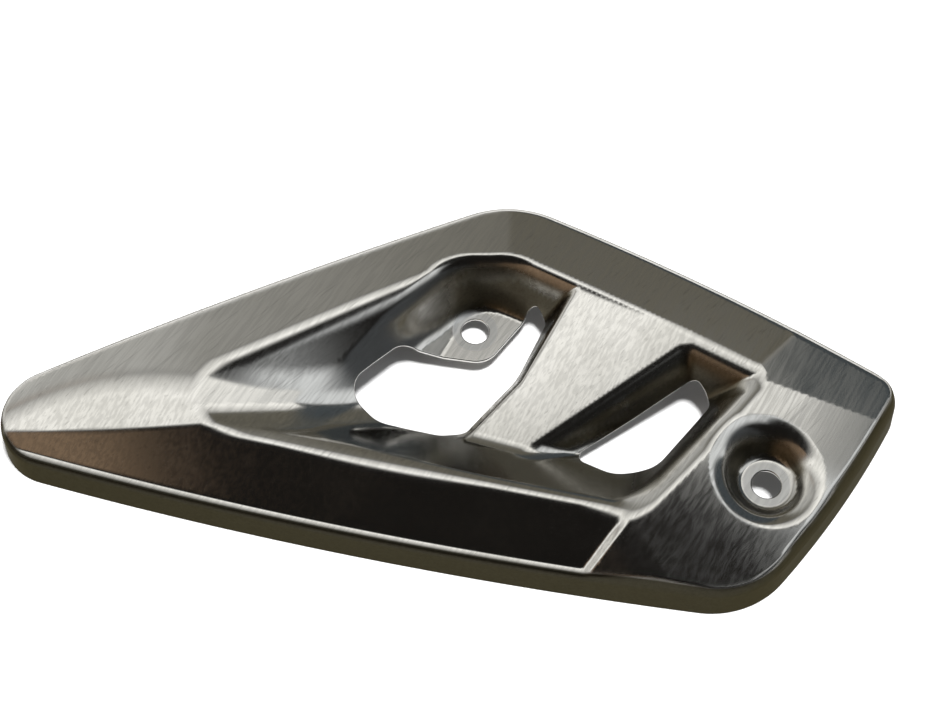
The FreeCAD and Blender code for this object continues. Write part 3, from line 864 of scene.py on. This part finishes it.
def studioWorld():
    s = studio
    world = bpy.data.worlds.new("studio")
    bpy.context.scene.world = world
    world.use_nodes = True
    tree = world.node_tree
    look = addNode(tree, "ShaderNodeTexCoord").outputs["Generated"]
    axes = addNode(tree, "ShaderNodeSeparateXYZ")
    wire(tree, look, axes.inputs[0])
    over = mathNode(tree, "MAXIMUM", axes.outputs["Z"], s["leastRise"])
    across = mathNode(tree, "DIVIDE", axes.outputs["X"], over)
    along = mathNode(tree, "DIVIDE", axes.outputs["Y"], over)

    def leftOf(start, end):  # distance to the left of a line on the ceiling
        (ax, ay), (bx, by) = start, end
        length = math.hypot(bx - ax, by - ay)
        inX, inY = (ay - by) / length, (bx - ax) / length
        sides = [mathNode(tree, "MULTIPLY", across, inX), mathNode(tree, "MULTIPLY", along, inY)]
        return mathNode(tree, "SUBTRACT", mathNode(tree, "ADD", *sides), inX * ax + inY * ay)

    def onBoth(limits):
        inX, inY = mapRange(tree, across, *limits[0]), mapRange(tree, along, *limits[1])
        return mathNode(tree, "MULTIPLY", inX, inY)

    first, last = s["strip"][0][0], s["strip"][-1][0]
    fade = addNode(tree, "ShaderNodeMapRange", {"From Min": first, "From Max": last})
    wire(tree, leftOf(*s["stripEdge"][:2]), fade.inputs["Value"])
    ramp = addNode(tree, "ShaderNodeValToRGB")
    stops = ramp.color_ramp.elements
    for _ in s["strip"][2:]:
        stops.new(0.5)
    for stop, (spot, light) in zip(stops, s["strip"]):
        stop.position = (spot - first) / (last - first)
        stop.color = tuple(light * c for c in s["stripColour"]) + (1.0,)
    wire(tree, fade.outputs[0], ramp.inputs[0])
    soft = s["stripSoft"]
    cuts = [mapRange(tree, leftOf(*s["stripEdge"][k:k + 2]), -soft, soft) for k in (1, 2)]
    inStrip = mathNode(tree, "MULTIPLY", *cuts)

    back = mixColour(tree, mapRange(tree, across, *s["backFade"]), s["backLeft"], s["backRight"])
    front = mixColour(tree, mapRange(tree, across, *s["frontLeftFade"]), s["frontLeft"], s["front"])
    front = mixColour(tree, mapRange(tree, across, *s["frontRightFade"]), front, s["frontRight"])
    around = mixColour(tree, mapRange(tree, along, *s["frontToBack"]), front, back)
    around = mixColour(tree, onBoth(s["rightFade"]), around, s["right"])
    ended = mapRange(tree, along, *s["farRightEnd"])
    farRight = mathNode(tree, "MULTIPLY", onBoth(s["farRightFade"]), ended)
    around = mixColour(tree, farRight, around, s["farRight"])
    colour = mixColour(tree, inStrip, around, ramp.outputs[0], "LIGHTEN")
    colour = mixColour(tree, mapRange(tree, axes.outputs["Z"], *s["horizonFade"]), colour, s["horizon"])
    risen = mapRange(tree, axes.outputs["Z"], *s["farLeftRise"])
    farLeft = mathNode(tree, "MULTIPLY", onBoth(s["farLeftFade"]), risen)
    colour = mixColour(tree, farLeft, colour, s["farLeft"])
    toCamera = addNode(tree, "ShaderNodeLightPath").outputs["Is Camera Ray"]
    colour = mixColour(tree, toCamera, colour, s["toCamera"])
    wire(tree, colour, tree.nodes["Background"].inputs["Color"])


studioWorld()

lamps = {
    # small softbox overhead, which throws the shadow straight down
    "overhead": {"place": (0.10, -0.03, 0.9), "aim": (0.0, 0.0, 0.0), "size": 0.14, "power": 17.5},
}


def addLamp(name, place, aim, size, power):
    light = bpy.data.lights.new(name, "AREA")
    light.shape = "DISK"
    light.size = size
    light.energy = power
    obj = bpy.data.objects.new(name, light)
    obj.location = place
    obj.rotation_euler = (Vector(aim) - Vector(place)).to_track_quat("-Z", "Y").to_euler()
    bpy.context.scene.collection.objects.link(obj)
    return obj


for name, lamp in lamps.items():
    addLamp(name, **lamp).visible_glossy = False

# camera at the photograph's angle
view = {
    "aim": (5.75, 9.0, 8.0), "distance": 340.0, "elevation": 62.0, "pixelsPerMm": 4.33,
    "imageWidth": 950, "sensorWidth": 36.0, "nearest": 0.01,
}


def addCamera():
    data = bpy.data.cameras.new("camera")
    data.sensor_fit = "HORIZONTAL"
    data.sensor_width = view["sensorWidth"]
    data.lens = data.sensor_width * view["pixelsPerMm"] * view["distance"] / view["imageWidth"]
    data.clip_start = view["nearest"]
    obj = bpy.data.objects.new("camera", data)
    up = math.radians(view["elevation"])
    aim = Vector(view["aim"]) * mm
    obj.location = aim + Vector((0, -math.cos(up), math.sin(up))) * view["distance"] * mm
    obj.rotation_euler = (math.pi / 2 - up, 0, 0)
    bpy.context.scene.collection.objects.link(obj)
    bpy.context.scene.camera = obj


addCamera()
bpy.context.scene.view_settings.view_transform = "Standard"
print("scene ready")
